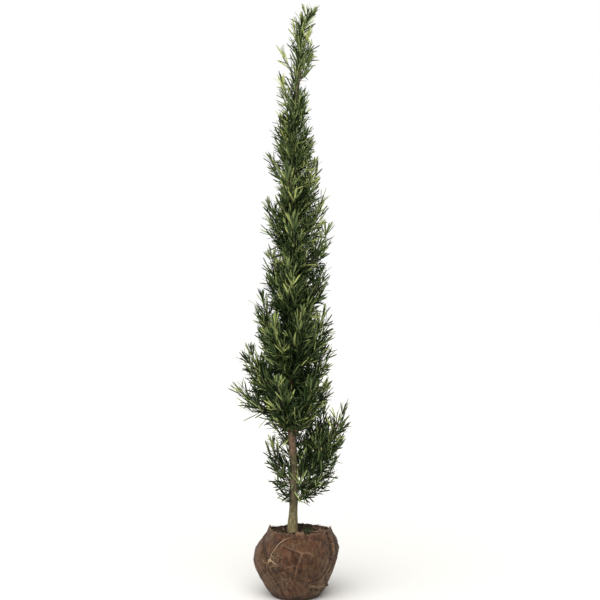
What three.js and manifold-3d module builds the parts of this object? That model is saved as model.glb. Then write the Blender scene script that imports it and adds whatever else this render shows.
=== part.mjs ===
// A narrow evergreen sapling, about 1.8 m tall, standing on its sacking-wrapped root ball.
// Millimetres, +Z up. The origin is the centre of the root ball's flat underside.
// +X is the side that the leading shoot leans to, and -Y is the front.

import * as THREE from "three";
import { mergeVertices } from "three/addons/utils/BufferGeometryUtils.js";
import Module from "manifold-3d";

const wasm = await Module();
wasm.setup();

// ---- Driving dimensions ----
const GAP = 0.4; // clearance between pieces that touch
const BALL_SIDES = 22;
const BALL_FOOT = 82; // radius of the flat underside
const BALL_BELLY = 141;
const BALL_LEAN = 14; // the top of the ball sits this far over to +X
const SACK_RIM = 224; // height of the sacking's rim
const SACK_THICKNESS = 4;
const SOIL_TOP = 212;
const SOIL_FLAT = 34; // radius of the level soil round the trunk
const TRUNK_SIDES = 8;
const LIMB_SIDES = 6;
const TWINE_RADIUS = 2.2;

// ---- Colours and surfaces ----
const surface = (color, roughness) => new THREE.MeshStandardMaterial({ color, roughness, metalness: 0 });
const BARK = surface(0x75674f, 0.85);
const SACKING = surface(0x5c4635, 0.95);
const SOIL = surface(0x2e241c, 1);
const TWINE = surface(0xa07c55, 0.9);
const DARK_LEAF = surface(0x2f4023, 0.5);
const MID_LEAF = surface(0x4b5f30, 0.5);
const YOUNG_LEAF = surface(0x7f9147, 0.5);

const smooth = (low, high, x) => THREE.MathUtils.smoothstep(x, low, high);
const part = new THREE.Group();

// ---- Solids ----
function solidOf(geometry) {
  const bare = geometry.clone();
  bare.deleteAttribute("normal");
  bare.deleteAttribute("uv");
  const merged = mergeVertices(bare, 1e-3);
  return new wasm.Manifold(
    new wasm.Mesh({
      numProp: 3,
      vertProperties: new Float32Array(merged.attributes.position.array),
      triVerts: new Uint32Array(merged.index.array),
    }),
  );
}

function geometryOf(solid) {
  const mesh = solid.getMesh();
  const geometry = new THREE.BufferGeometry();
  geometry.setAttribute("position", new THREE.BufferAttribute(mesh.vertProperties, 3));
  geometry.setIndex(new THREE.BufferAttribute(mesh.triVerts, 1));
  geometry.computeVertexNormals();
  return geometry;
}

function largestPiece(solid) {
  return solid.decompose().reduce((a, b) => (b.volume() > a.volume() ? b : a));
}

function add(name, solid, material) {
  const mesh = new THREE.Mesh(geometryOf(solid), material);
  mesh.name = name;
  part.add(mesh);
}

// Bends a unit shape, whose own Y runs from -1 to 1, along a curve. widthAt gives the radius at
// a share of the length and a direction round the curve; side is a direction across it.
function sweep(shape, curve, side, widthAt) {
  const place = shape.attributes.position;
  const along = new THREE.Vector3();
  const across = new THREE.Vector3();
  const out = new THREE.Vector3();
  for (let i = 0; i < place.count; i++) {
    const t = THREE.MathUtils.clamp((place.getY(i) + 1) / 2, 0, 1);
    curve.getTangent(t, along);
    across.copy(side).addScaledVector(along, -side.dot(along)).normalize();
    out.crossVectors(across, along);
    const width = widthAt(t, Math.atan2(place.getZ(i), place.getX(i)));
    const at = curve.getPoint(t);
    at.addScaledVector(across, place.getX(i) * width).addScaledVector(out, place.getZ(i) * width);
    place.setXYZ(i, at.x, at.y, at.z);
  }
  return solidOf(shape);
}

// ---- Trunk: one tapering stem with a slight sway, a root flare and a nodding tip ----
const TRUNK_LINE = [
  [-12, 0, SOIL_TOP - 10],
  [-8, 2, 320],
  [-7, 3, 430],
  [-17, 2, 590],
  [-15, -3, 800],
  [-9, -4, 1050],
  [-12, 2, 1330],
  [-9, 4, 1580],
  [-2, 1, 1700],
  [10, -2, 1780],
  [14, -2, 1850],
  [13, 0, 1905],
  [26, 0, 1942],
  [48, -2, 1974],
].map((p) => new THREE.Vector3(...p));
const trunkCurve = new THREE.CatmullRomCurve3(TRUNK_LINE);
const TRUNK_STEPS = 20;

function trunkRadius(height) {
  const flare = 3.5 * Math.exp(-(height - SOIL_TOP) / 22);
  const stem = THREE.MathUtils.mapLinear(height, SOIL_TOP, 1740, 14.2, 7.2);
  const leader = THREE.MathUtils.mapLinear(height, 1740, 1978, 7.2, 1.6);
  return flare + (height < 1740 ? stem : leader);
}

function trunk(grow) {
  const shape = new THREE.CylinderGeometry(1, 1, 2, TRUNK_SIDES, TRUNK_STEPS);
  const side = new THREE.Vector3(0, 1, 0);
  const stem = sweep(shape, trunkCurve, side, (t) => trunkRadius(trunkCurve.getPoint(t).z) + grow);
  const ground = new THREE.BoxGeometry(80, 80, 40).translate(0, 0, SOIL_TOP + GAP - grow - 20);
  return stem.subtract(solidOf(ground));
}

function trunkAt(height) {
  let low = 0;
  let high = 1;
  for (let i = 0; i < 40; i++) {
    const middle = (low + high) / 2;
    if (trunkCurve.getPoint(middle).z < height) low = middle;
    else high = middle;
  }
  return trunkCurve.getPoint(low);
}

// ---- Limbs and foliage ----
// The line of a shoot: it leaves the trunk at a height, in a compass direction (degrees from +X
// towards +Y), and curves up to a tip at its own reach from the trunk and its own height.
function shootCurve({ from, turn, reach, tip }) {
  const foot = trunkAt(from);
  const angle = THREE.MathUtils.degToRad(turn);
  const out = new THREE.Vector3(Math.cos(angle), Math.sin(angle), 0);
  const rise = tip - foot.z;
  const bend = foot.clone().addScaledVector(out, reach * 0.6);
  bend.z += rise * 0.38;
  const end = foot.clone().addScaledVector(out, reach);
  end.z = tip;
  const curve = new THREE.QuadraticBezierCurve3(foot, bend, end);
  curve.side = new THREE.Vector3(-Math.sin(angle), Math.cos(angle), 0);
  return curve;
}

// A mass of leaves: a flame shape along its shoot, lumpy in a way of its own.
const MASS_SIDES = 8;
const MASS_RINGS = 5;
function foliage(spec, order, grow) {
  const shape = new THREE.SphereGeometry(1, MASS_SIDES, MASS_RINGS);
  return sweep(shape, shootCurve(spec), shootCurve(spec).side, (t, angle) => {
    const flame = 0.72 + 0.62 * t - 0.5 * t * t;
    const lumps =
      0.13 * Math.sin(3 * angle + 1.7 * order) +
      0.1 * Math.sin(2 * angle - 9 * t + 2.3 * order) +
      0.07 * Math.sin(5 * angle + 14 * t + order);
    return spec.girth * flame * (1 + lumps) + grow;
  });
}

// Each row: name, height on the trunk, direction, reach, height of the tip, half width.
const shoots = (rows, material) =>
  rows.map(([name, from, turn, reach, tip, girth]) => ({ name, from, turn, reach, tip, girth, material }));

const MASSES = [
  ...shoots(
    [
      // the skirt round the bare foot of the trunk
      ["skirt_right_outer", 318, -6, 182, 656, 52],
      ["skirt_right_inner", 356, 12, 116, 644, 50],
      ["skirt_right_low", 300, -20, 162, 478, 34],
      ["skirt_left", 352, 176, 84, 534, 42],
      ["skirt_left_low", 306, 200, 80, 404, 20],
      // the lowest whorl of the crown
      ["low_far_left", 578, 183, 196, 716, 42],
      ["low_left", 606, 174, 155, 850, 57],
      ["low_right", 578, -8, 134, 728, 48],
      ["low_right_upper", 645, 10, 134, 852, 48],
      ["low_front_left", 532, 242, 114, 752, 52],
      ["low_front_right", 524, 318, 100, 744, 48],
      ["low_back", 572, 94, 110, 768, 60],
      // the broad middle
      ["middle_left", 704, 182, 103, 1034, 56],
      ["middle_right", 728, -6, 122, 984, 54],
      ["middle_front_left", 740, 236, 108, 955, 50],
      ["middle_front_right", 750, 294, 104, 980, 48],
      ["middle_back", 742, 92, 108, 972, 58],
      ["waist_left", 926, 176, 80, 1188, 50],
      ["waist_right", 896, 4, 112, 1126, 46],
      ["waist_front", 900, 262, 98, 1140, 50],
      ["waist_back", 930, 88, 100, 1222, 56],
    ],
    DARK_LEAF,
  ),
  ...shoots(
    [
      ["upper_left", 1128, 178, 88, 1350, 38],
      ["upper_right", 1044, -6, 130, 1264, 40],
      ["upper_right_high", 1146, 12, 112, 1374, 40],
      ["upper_front", 1060, 270, 90, 1300, 46],
      ["shoulder_left", 1384, 182, 82, 1500, 31],
      ["shoulder_right", 1250, 4, 81, 1494, 46],
      ["shoulder_front", 1230, 258, 74, 1450, 44],
      ["shoulder_back", 1206, 94, 76, 1500, 48],
      ["neck_left", 1420, 174, 36, 1656, 38],
      ["neck_right", 1400, -4, 56, 1602, 42],
    ],
    MID_LEAF,
  ),
  ...shoots(
    [
      ["spire_right", 1560, 8, 39, 1722, 32],
      ["spire_left", 1636, 184, 48, 1776, 25],
      ["tip_right_low", 1724, 4, 56, 1848, 20],
      ["tip_right", 1760, -6, 38, 1928, 26],
      ["tip_left", 1752, 180, 60, 1866, 26],
      ["tip_left_high", 1834, 196, 24, 1954, 17],
      ["leading_shoot", 1906, 0, 54, 2014, 20],
      ["second_shoot", 1918, 0, 4, 1988, 13],
    ],
    YOUNG_LEAF,
  ),
];

// The boughs that show below and beside the masses: the same lines as the shoots that they carry,
// from the trunk to where they enter the leaves.
const BOUGHS = [
  { name: "bough_skirt_right", from: 268, turn: -12, reach: 72, tip: 352, foot: 6.5, end: 4.5 },
  { name: "bough_skirt_left", from: 276, turn: 186, reach: 56, tip: 350, foot: 5.5, end: 4 },
  { name: "bough_low_left", from: 548, turn: 186, reach: 92, tip: 606, foot: 6, end: 4 },
  { name: "bough_low_right", from: 532, turn: -6, reach: 74, tip: 596, foot: 6, end: 4 },
];

function bough(spec) {
  const shape = new THREE.CylinderGeometry(1, 1, 2, LIMB_SIDES, 5);
  const curve = shootCurve(spec);
  return sweep(shape, curve, curve.side, (t) => THREE.MathUtils.lerp(spec.foot, spec.end, t));
}

// ---- Root ball ----
// Height and radius down the outside of the ball, from the edge of the flat underside to the rim.
const BALL_OUTLINE = new THREE.SplineCurve(
  [
    [BALL_FOOT, 0],
    [97, 18],
    [118, 60],
    [136, 106],
    [BALL_BELLY, 143],
    [136, 172],
    [122, 194],
    [110, 212],
    [104, SACK_RIM],
  ].map((p) => new THREE.Vector2(...p)),
);
const OUTLINE_STEPS = 7;

// How far the ball stands out at a place: broad lobes where the sacking is bunched, none underneath.
function ballLobes(angle, height) {
  const belly = smooth(0, 60, height) * (1 - 0.5 * smooth(170, SACK_RIM, height));
  return (
    belly *
    (0.025 * Math.sin(2 * angle + 0.6) + 0.022 * Math.sin(3 * angle - 1.1) + 0.016 * Math.sin(7 * angle + 2))
  );
}

const ballLean = (height) => BALL_LEAN * smooth(120, 200, height);

// The rim isn't level: it rises in a corner at each side and dips at the back.
function rimRise(angle) {
  const corner = (at, width) => Math.exp(-(((Math.cos(angle - at) - 1) / width) ** 2));
  const raised = 9 * corner(3.2, 0.03) + 3 * corner(0, 0.03);
  return raised - 10 * corner(1.57, 0.5) - 13 * corner(0.75, 0.12) - 7 * corner(2.4, 0.1);
}

function ballSolid(profile) {
  const shape = new THREE.LatheGeometry(
    profile.map(([r, z]) => new THREE.Vector2(r, z)),
    BALL_SIDES,
  ).rotateX(Math.PI / 2);
  const place = shape.attributes.position;
  for (let i = 0; i < place.count; i++) {
    const [x, y, z] = [place.getX(i), place.getY(i), place.getZ(i)];
    const angle = Math.atan2(y, x);
    const spread = Math.hypot(x, y) > BALL_FOOT - 10 ? 1 + ballLobes(angle, z) : 1;
    const lift = rimRise(angle) * smooth(SOIL_TOP, SACK_RIM, z);
    place.setXYZ(i, x * spread + ballLean(z), y * spread, z + lift);
  }
  return solidOf(shape);
}

const outline = BALL_OUTLINE.getPoints(OUTLINE_STEPS).map((p) => [p.x, p.y]);

function sacking(thickness) {
  const inside = outline.filter(([, z]) => z > SACK_THICKNESS + 2).map(([r, z]) => [r - thickness, z]);
  return ballSolid([
    [0, 0],
    ...outline,
    ...inside.reverse(),
    [BALL_FOOT - thickness, thickness],
    [0, thickness],
  ]);
}

// The soil fills the sacking to just under its rim, a little mounded, and level round the trunk.
function soil() {
  const wall = outline.filter(([, z]) => z < SOIL_TOP - 6).map(([r, z]) => [r - 1, z + 1]);
  const block = ballSolid([
    [0, 1],
    ...wall,
    [100, SOIL_TOP - 5],
    [72, SOIL_TOP - 2],
    [SOIL_FLAT, SOIL_TOP],
    [0, SOIL_TOP],
  ]);
  return largestPiece(block.subtract(sacking(SACK_THICKNESS + GAP)));
}

// A loop of twine lies on the sacking. Its stations are directions round the ball (degrees) and
// heights; between them it runs smoothly.
const TWINE_STEPS = 40;
const outlineRadius = (z) => {
  const i = Math.max(1, outline.findIndex(([, height]) => height >= z));
  return THREE.MathUtils.mapLinear(z, outline[i - 1][1], outline[i][1], outline[i - 1][0], outline[i][0]);
};
function twineLoop(stations) {
  const route = new THREE.CatmullRomCurve3(
    stations.map(([turn, height]) => {
      const angle = THREE.MathUtils.degToRad(turn);
      return new THREE.Vector3(Math.cos(angle) * BALL_BELLY, Math.sin(angle) * BALL_BELLY, height);
    }),
    true,
  );
  const places = route.getSpacedPoints(TWINE_STEPS).slice(0, -1);
  const onBall = places.map((p) => {
    const angle = Math.atan2(p.y, p.x);
    const radius = outlineRadius(p.z) * (1 + ballLobes(angle, p.z)) + TWINE_RADIUS + 4 * GAP;
    return new THREE.Vector3(radius * Math.cos(angle) + ballLean(p.z), radius * Math.sin(angle), p.z);
  });
  const line = new THREE.CatmullRomCurve3(onBall, true);
  return solidOf(new THREE.TubeGeometry(line, TWINE_STEPS, TWINE_RADIUS, 4, true));
}
const TWINE_LOOPS = [
  [[270, 209], [249, 204], [236, 191], [231, 166], [230, 143], [222, 108], [205, 74], [175, 56], [135, 62],
    [90, 96], [45, 138], [10, 166], [340, 180], [310, 192], [290, 203]],
  [[190, 198], [209, 176], [218, 157], [226, 142], [237, 134], [249, 128], [260, 112], [270, 88], [286, 68],
    [301, 67], [314, 86], [326, 120], [338, 154], [356, 178], [30, 166], [75, 140], [125, 146], [168, 186]],
];

// ---- Assembly ----
add("root_ball_sacking", sacking(SACK_THICKNESS), SACKING);
add("root_ball_soil", soil(), SOIL);
add("root_ball_twine", TWINE_LOOPS.map(twineLoop).reduce((a, b) => a.add(b)), TWINE);

add("trunk", trunk(0), BARK);
const taken = [trunk(GAP)];
MASSES.forEach((spec, order) => {
  const left = taken.reduce((solid, other) => solid.subtract(other), foliage(spec, order, 0));
  add(spec.name, largestPiece(left), spec.material);
  taken.push(foliage(spec, order, GAP));
});
for (const spec of BOUGHS)
  add(spec.name, largestPiece(taken.reduce((solid, other) => solid.subtract(other), bough(spec))), BARK);

export default part;
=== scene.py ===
# A narrow evergreen sapling on its sacking-wrapped root ball.
# Metres, +Z up, in the frame of the solids: the origin is the centre of the ball's flat underside.

import random
from math import atan2, cos, exp, pi, radians, sin, sqrt

import bmesh
import bpy
import numpy as np
from mathutils import Matrix, Vector, noise
from mathutils.bvhtree import BVHTree


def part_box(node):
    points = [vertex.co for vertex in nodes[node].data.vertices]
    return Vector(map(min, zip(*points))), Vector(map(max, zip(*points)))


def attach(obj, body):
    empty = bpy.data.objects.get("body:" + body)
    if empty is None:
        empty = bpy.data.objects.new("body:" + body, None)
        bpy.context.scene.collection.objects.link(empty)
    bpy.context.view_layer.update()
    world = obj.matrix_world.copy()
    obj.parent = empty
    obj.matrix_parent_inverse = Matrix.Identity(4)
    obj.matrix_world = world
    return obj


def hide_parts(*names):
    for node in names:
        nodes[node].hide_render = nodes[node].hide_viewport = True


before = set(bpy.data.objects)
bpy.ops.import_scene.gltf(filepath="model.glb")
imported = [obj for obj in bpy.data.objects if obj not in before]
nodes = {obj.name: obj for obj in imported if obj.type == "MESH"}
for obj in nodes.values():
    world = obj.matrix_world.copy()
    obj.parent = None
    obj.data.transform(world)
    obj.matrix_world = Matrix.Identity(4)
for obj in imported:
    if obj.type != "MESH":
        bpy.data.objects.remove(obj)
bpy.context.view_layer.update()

# ---- Sizes ----
LEAF_LENGTH = 0.060
LEAF_WIDTH = 0.0044
LEAF_SPACING = 0.0041
SPRAY_SPACING = 0.027  # between the middles of neighbouring sprays in a mass
LEAFY_END = 0.060  # length of a twig, back from its end, that carries leaves
BARE_FOOT = 0.10  # share of a shoot that carries no sprays
GAP_BETWEEN_MASSES = 0.016  # leaves close a gap as narrow as this
STICKS_OUT = 0.024  # how far past its mass a leaf's point may reach
STRAY_REACH = 0.030  # a few leaves stand out by this much more
STRAY_SHARE = 0.035
SPUR_SPACING = 0.0060
TWIG_FOOT, TWIG_END = 0.0016, 0.0008  # a twig's radius where it starts and ends
FULL_DEPTH = (0.640, 1.640)  # here longer spurs fill the crown out to its front and back
DEEP_SPUR = (0.025, 0.062)  # shortest and longest of those
DENSE_TOP = 1.500  # above this the stem carries leaves of its own all the way up
CROWN_FOOT = 0.405  # lowest leaves on the trunk itself
CLEAR_STEM = 0.590  # below this the stem is in sight, with leaves only beside and behind it
BARE_STEM = (1.690, 1.752)  # the stem shows here, on its +X side
GOLDEN_ANGLE = radians(137.5)
WEAVE_PITCH = 0.0024

LEAF_MASSES = sorted(n for n in nodes if not n.startswith(("root_ball", "trunk", "bough")))
BOUGHS = sorted(n for n in nodes if n.startswith("bough"))


# ---- Camera and light ----
ROOM_LIGHT = 0.35
BACKDROP_LIGHT = 1.0
LAMP_LIGHT = 3.9
LAMP_SPREAD = radians(72)
LAMP_HEADING = Vector((0.17, 0.52, -1.0))


def add_object(name, data):
    made = bpy.data.objects.new(name, data)
    bpy.context.scene.collection.objects.link(made)
    return made


def add_node(tree, kind, inputs=None, **settings):
    """A shader node, with each input joined to a socket or set to a value; a colour has three parts."""
    made = tree.nodes.new(kind)
    for name, value in settings.items():
        setattr(made, name, value)
    for name, value in (inputs or {}).items():
        socket = made.inputs[name]
        if isinstance(value, bpy.types.NodeSocket):
            tree.links.new(value, socket)
        else:
            socket.default_value = (*value, 1) if socket.type == "RGBA" else value
    return made


def set_camera():
    camera = add_object("camera", bpy.data.cameras.new("camera"))
    camera.location = (0.014, -3.2, 0.98)
    camera.rotation_euler = (radians(90.4), 0, 0)
    camera.data.lens = 56.1
    camera.data.sensor_width = 36
    camera.data.clip_end = 60
    bpy.context.scene.camera = camera


def set_lights():
    """A broad soft lamp from the upper left, and an even white room."""
    world = bpy.data.worlds.new("studio")
    bpy.context.scene.world = world
    world.use_nodes = True
    tree = world.node_tree
    room_light = tree.nodes["Background"]
    room_light.inputs["Color"].default_value = (1, 1, 1, 1)
    room_light.inputs["Strength"].default_value = ROOM_LIGHT
    backdrop = add_node(tree, "ShaderNodeBackground", {"Color": (1, 1, 1), "Strength": BACKDROP_LIGHT})
    seen = tree.nodes.new("ShaderNodeLightPath").outputs["Is Camera Ray"]
    both = {0: seen, 1: room_light.outputs[0], 2: backdrop.outputs[0]}
    chosen = add_node(tree, "ShaderNodeMixShader", both)
    tree.links.new(chosen.outputs[0], tree.nodes["World Output"].inputs["Surface"])
    lamp = add_object("lamp", bpy.data.lights.new("lamp", "SUN"))
    lamp.data.energy = LAMP_LIGHT
    lamp.data.angle = LAMP_SPREAD
    lamp.rotation_euler = LAMP_HEADING.to_track_quat("-Z", "Y").to_euler()
    bpy.context.scene.view_settings.view_transform = "Standard"


set_camera()
set_lights()


# ---- Finishes ----
def new_group(name, inputs, output, kind):
    group = bpy.data.node_groups.new(name, "ShaderNodeTree")
    for label, sort in inputs:
        group.interface.new_socket(label, in_out="INPUT", socket_type="NodeSocket" + sort)
    group.interface.new_socket(output, in_out="OUTPUT", socket_type="NodeSocket" + kind)
    return group, group.nodes.new("NodeGroupInput").outputs, group.nodes.new("NodeGroupOutput").inputs


def remap(tree, value, low, high, to_low=0.0, to_high=1.0):
    """A value carried from one range onto another and held inside it."""
    inputs = {"Value": value, "From Min": low, "From Max": high, "To Min": to_low, "To Max": to_high}
    return add_node(tree, "ShaderNodeMapRange", inputs).outputs["Result"]


def cloudiness(tree, place, scale, detail, roughness):
    inputs = {"Vector": place, "Scale": scale, "Detail": detail, "Roughness": roughness}
    return add_node(tree, "ShaderNodeTexNoise", inputs).outputs["Fac"]


def mix_colors(tree, factor, first, second, blend="MIX"):
    inputs = {0: factor, 6: first, 7: second}
    return add_node(tree, "ShaderNodeMix", inputs, data_type="RGBA", blend_type=blend).outputs[2]


def calculate(tree, operation, *values):
    return add_node(tree, "ShaderNodeMath", dict(enumerate(values)), operation=operation).outputs[0]


def mottle_group():
    """Two colours in soft patches: earth on sacking, moss on bark, light and dark in leaves."""
    group, given, result = new_group(
        "mottle",
        [("Vector", "Vector"), ("Scale", "Float"), ("Low", "Float"), ("High", "Float"), ("First", "Color"),
         ("Second", "Color")],
        "Color", "Color",
    )
    patches = cloudiness(group, given["Vector"], given["Scale"], 5, 0.62)
    mask = remap(group, patches, given["Low"], given["High"])
    group.links.new(mix_colors(group, mask, given["First"], given["Second"]), result["Color"])
    return group


def grain_group():
    """Fine fibres drawn out along one direction: bark fissures, jute plies and leaf veins."""
    group, given, result = new_group(
        "grain", [("Vector", "Vector"), ("Stretch", "Vector"), ("Scale", "Float")], "Height", "Float"
    )
    both = {0: given["Vector"], 1: given["Stretch"]}
    drawn = add_node(group, "ShaderNodeVectorMath", both, operation="MULTIPLY").outputs["Vector"]
    group.links.new(cloudiness(group, drawn, given["Scale"], 6, 0.6), result["Height"])
    return group


MOTTLE = mottle_group()
GRAIN = grain_group()


def mottled(tree, place, scale, low, high, first, second):
    inputs = {"Vector": place, "Scale": scale, "Low": low, "High": high, "First": first, "Second": second}
    return add_node(tree, "ShaderNodeGroup", inputs, node_tree=MOTTLE).outputs["Color"]


def grained(tree, place, stretch, scale):
    inputs = {"Vector": place, "Stretch": stretch, "Scale": scale}
    return add_node(tree, "ShaderNodeGroup", inputs, node_tree=GRAIN).outputs["Height"]


def place_in(tree):
    return tree.nodes.new("ShaderNodeTexCoord").outputs["Object"]


def new_finish(name, roughness, specular, sheen=0.0):
    material = bpy.data.materials.new(name)
    material.use_nodes = True
    surface = material.node_tree.nodes["Principled BSDF"]
    surface.inputs["Roughness"].default_value = roughness
    surface.inputs["Specular IOR Level"].default_value = specular
    surface.inputs["Sheen Weight"].default_value = sheen
    return material, material.node_tree, surface.inputs


def cover(tree, surface, color, height, relief):
    """Joins a surface to its colour, and to a height that stands out by so many metres."""
    tree.links.new(color, surface["Base Color"])
    bumped = add_node(tree, "ShaderNodeBump", {"Height": height, "Distance": relief, "Strength": 1.0})
    tree.links.new(bumped.outputs["Normal"], surface["Normal"])


BARK_SPAN = (0.2, 2.0)  # heights that the tones below run over
BARK_TONES = (
    (0.0, (0.31, 0.255, 0.115)),
    (0.030, (0.27, 0.22, 0.105)),
    (0.062, (0.105, 0.087, 0.043)),
    (0.100, (0.135, 0.108, 0.058)),
    (0.150, (0.140, 0.100, 0.057)),
    (0.176, (0.27, 0.165, 0.105)),
    (0.205, (0.22, 0.130, 0.085)),
    (0.30, (0.17, 0.10, 0.065)),
    (0.84, (0.17, 0.145, 0.07)),
    (1.0, (0.15, 0.17, 0.06)),
)


def bark_finish():
    """Bark that changes tone on its way up, with dark upright fissures and pale lichen."""
    material, tree, surface = new_finish("bark", 0.8, 0.3)
    place = place_in(tree)
    height = add_node(tree, "ShaderNodeSeparateXYZ", {"Vector": place}).outputs["Z"]
    zones = add_node(tree, "ShaderNodeValToRGB", {"Fac": remap(tree, height, *BARK_SPAN)})
    stops = zones.color_ramp.elements
    for at, _ in BARK_TONES[1:-1]:
        stops.new(at)
    for stop, (_, tone) in zip(stops, BARK_TONES):
        stop.color = (*tone, 1)
    fissures = grained(tree, place, (1, 1, 0.12), 420.0)
    dark = remap(tree, fissures, 0.42, 0.62, 0.45, 1.12)
    streaked = mix_colors(tree, 1.0, zones.outputs["Color"], dark, "MULTIPLY")
    lichen = mottled(tree, place, 70.0, 0.56, 0.72, streaked, (0.30, 0.29, 0.19))
    cover(tree, surface, lichen, fissures, 0.0012)
    return material


def worn_and_shaded_color(tree, color, pale, dirt_and_shade):
    """Paler where the piece's own wear attribute is high, from wear; darker where it is below nothing, partly
    real dirt and partly painted shade in grooves, hollows, along the twine and over the tuck.
    """
    wear_and_shade = add_node(tree, "ShaderNodeAttribute", attribute_name="wear_and_shade").outputs["Fac"]
    rubbed = mix_colors(tree, wear_and_shade, color, pale)
    return mix_colors(tree, remap(tree, wear_and_shade, 0.0, -1.0), rubbed, dirt_and_shade)


CLOTH_COLOR = (0.086, 0.036, 0.018)
CLOTH_STAINS = (  # earth, damp and pale patches: scale, where the edge starts and ends, and colour
    (17.0, 0.40, 0.62, (0.092, 0.051, 0.025)),
    (38.0, 0.50, 0.68, (0.036, 0.021, 0.014)),
    (120.0, 0.57, 0.74, (0.165, 0.098, 0.058)),
)


def sacking_finish():
    """Coarse jute cloth: one thread over, one under, stained by the earth inside."""
    material, tree, surface = new_finish("sacking", 0.95, 0.12, sheen=0.10)
    along = add_node(tree, "ShaderNodeUVMap", uv_map="cloth").outputs["UV"]
    place = place_in(tree)
    axes = add_node(tree, "ShaderNodeSeparateXYZ", {"Vector": along}).outputs
    turned = [calculate(tree, "MULTIPLY", axes[axis], pi / WEAVE_PITCH) for axis in ("X", "Y")]
    waves = [calculate(tree, "SINE", angle) for angle in turned]
    crossings = calculate(tree, "ABSOLUTE", calculate(tree, "MULTIPLY", *waves))
    fuzz = grained(tree, along, (1, 0.35, 1), 900.0)
    height = calculate(tree, "MULTIPLY_ADD", crossings, 0.7, fuzz)
    color = CLOTH_COLOR
    for scale, low, high, stain in CLOTH_STAINS:
        color = mottled(tree, place, scale, low, high, color, stain)
    gaps = remap(tree, height, 0.35, 1.1, 0.60, 1.25)
    streaks = remap(tree, grained(tree, along, (1, 0.34, 1), 105.0), 0.38, 0.64, 0.62, 1.30)
    for shade in (gaps, streaks):
        color = mix_colors(tree, 1.0, color, shade, "MULTIPLY")
    # Pale where worn; nearly black where painted shade lies in grooves, hollows, along the twine and over the
    # tuck, and darker down inside the rim and towards the foot.
    color = worn_and_shaded_color(tree, color, (0.34, 0.215, 0.140), (0.012, 0.007, 0.005))
    cover(tree, surface, color, height, 0.0007)
    return material


def twine_finish():
    material, tree, surface = new_finish("twine", 0.9, 0.2, sheen=0.2)
    place = place_in(tree)
    color = mottled(tree, place, 60.0, 0.42, 0.60, (0.066, 0.036, 0.022), (0.105, 0.064, 0.039))
    color = worn_and_shaded_color(tree, color, (0.62, 0.44, 0.27), (0.05, 0.03, 0.02))
    cover(tree, surface, color, grained(tree, place, (1, 1, 0.6), 1500.0), 0.0006)
    return material


EARTH = ((0.38, 0.64), (1, 1, 1), 700.0, 0.0015)  # edges of the patches, grain and relief
LEAF = ((0.35, 0.68), (1, 1, 0.3), 1100.0, 0.0002)


def patchy_finish(name, first, second, roughness, gloss, scale, edges, stretch, fine, relief):
    """Two near colours in soft patches over a fine grain: earth, moss, litter, and leaves with veins."""
    material, tree, surface = new_finish(name, roughness, gloss)
    place = place_in(tree)
    color = mottled(tree, place, scale, *edges, first, second)
    cover(tree, surface, color, grained(tree, place, stretch, fine), relief)
    return material


BARK = bark_finish()
SACKING = sacking_finish()
TWINE = twine_finish()
SOIL = patchy_finish("soil", (0.014, 0.009, 0.006), (0.052, 0.033, 0.021), 1.0, 0.1, 80.0, *EARTH)
MOSS = patchy_finish("moss", (0.012, 0.019, 0.009), (0.085, 0.105, 0.048), 1.0, 0.1, 170.0, *EARTH)
LITTER = patchy_finish("litter", (0.105, 0.050, 0.034), (0.330, 0.215, 0.140), 0.9, 0.1, 120.0, *EARTH)
# The leaves' greens are partly their own tones and partly painted light and shade: deep is a near-black green
# that stands in for the shadow inside the crown, and fresh and young stand in for sunlit leaves as well as
# new growth.
LEAF_GREENS_LIT_AND_SHADED = (  # kind, slot, its two greens, roughness and gloss
    ("deep", "leaf_dark", (0.006, 0.014, 0.004), (0.012, 0.024, 0.006), 0.42, 0.14),
    ("dark", "leaf_dark", (0.024, 0.046, 0.012), (0.043, 0.074, 0.020), 0.36, 0.22),
    ("mid", "leaf_mid", (0.094, 0.136, 0.040), (0.140, 0.190, 0.062), 0.36, 0.32),
    ("fresh", "leaf_mid", (0.265, 0.332, 0.100), (0.360, 0.430, 0.158), 0.38, 0.34),
    ("young", "leaf_young", (0.450, 0.500, 0.140), (0.580, 0.620, 0.240), 0.42, 0.34),
)


# ---- Pieces ----
def finish_piece(name, mesh, finish, smooth=True):
    piece = add_object(name, mesh)
    mesh.materials.append(finish)
    mesh.polygons.foreach_set("use_smooth", [smooth] * len(mesh.polygons))
    mesh.update()
    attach(piece, "root")
    return piece


def mesh_from_bmesh(name, bm):
    mesh = bpy.data.meshes.new(name)
    bm.to_mesh(mesh)
    bm.free()
    return mesh


def arrays_from_bmesh(bm):
    """Points and triangles of a small shape that is about to be repeated."""
    bmesh.ops.triangulate(bm, faces=bm.faces)
    bm.verts.index_update()
    points = np.array([v.co for v in bm.verts])
    triangles = np.array([[v.index for v in f.verts] for f in bm.faces])
    bm.free()
    return points, triangles


def mesh_from_arrays(name, points, triangles):
    """points is (copies, n, 3), and triangles is (m, 3) for one copy."""
    copies, each = points.shape[:2]
    corners = (triangles[None] + each * np.arange(copies)[:, None, None]).reshape(-1)
    mesh = bpy.data.meshes.new(name)
    mesh.vertices.add(copies * each)
    mesh.vertices.foreach_set("co", points.reshape(-1).astype(np.float32))
    mesh.loops.add(len(corners))
    mesh.loops.foreach_set("vertex_index", corners.astype(np.int32))
    mesh.polygons.add(len(corners) // 3)
    mesh.polygons.foreach_set("loop_start", np.arange(0, len(corners), 3, dtype=np.int32))
    mesh.update(calc_edges=True)
    return mesh


def unit(vectors):
    return vectors / np.maximum(np.linalg.norm(vectors, axis=-1, keepdims=True), 1e-9)


def curve(start, bend, end, t):
    """The place at share t of a line that leaves start towards bend and comes to end."""
    return (1 - t) ** 2 * start + 2 * t * (1 - t) * bend + t * t * end


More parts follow.
